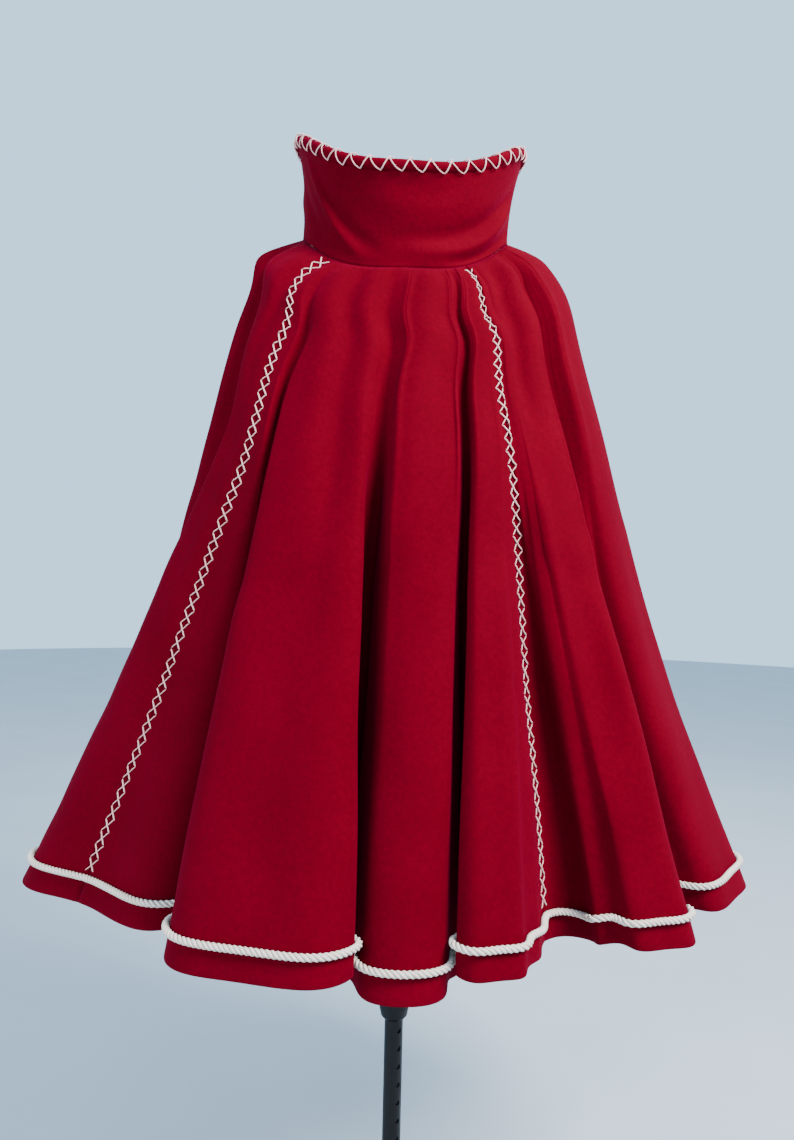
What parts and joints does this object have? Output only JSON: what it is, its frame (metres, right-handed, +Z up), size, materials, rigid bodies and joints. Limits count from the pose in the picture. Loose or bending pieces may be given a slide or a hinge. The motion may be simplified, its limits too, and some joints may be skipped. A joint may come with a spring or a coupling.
{
  "type": "cape on a dress form with a stand",
  "caption": "Long flared cape with a tall funnel collar, cord trim above the hem, standing on a limbless dress form with a notched pole and a round base.",
  "frame": {"origin": "on the floor, on the pole's axis, at the centre of the round base's underside", "axes": "+Z up, -Y towards the front of the cape, +X to the right as seen from the front"},
  "size_m": [0.9946, 0.6604, 1.5105],
  "materials": {
    "wool": "deep red felted wool, matte with a short nap",
    "trim": "cream-white twisted cotton cord",
    "jersey": "black jersey cover of the dress form, matte",
    "black_paint": "semi-gloss black paint"
  },
  "bodies": {
    "stand": {"base_plate": "black_paint", "pole": "black_paint"},
    "form": {"locking_collar": "black_paint", "upper_tube": "black_paint", "dress_form": "jersey", "neck_cap": "black_paint", "front_panel": "wool", "right_panel": "wool", "left_panel": "wool", "collar": "wool", "collar_rim": "wool", "hem_cord": "trim"}
  },
  "joints": [
    {"name": "height_slide", "type": "slide", "parent": "stand", "child": "form", "axis": [0, 0, 1], "range_m": [-0.15, 0.15]}
  ]
}
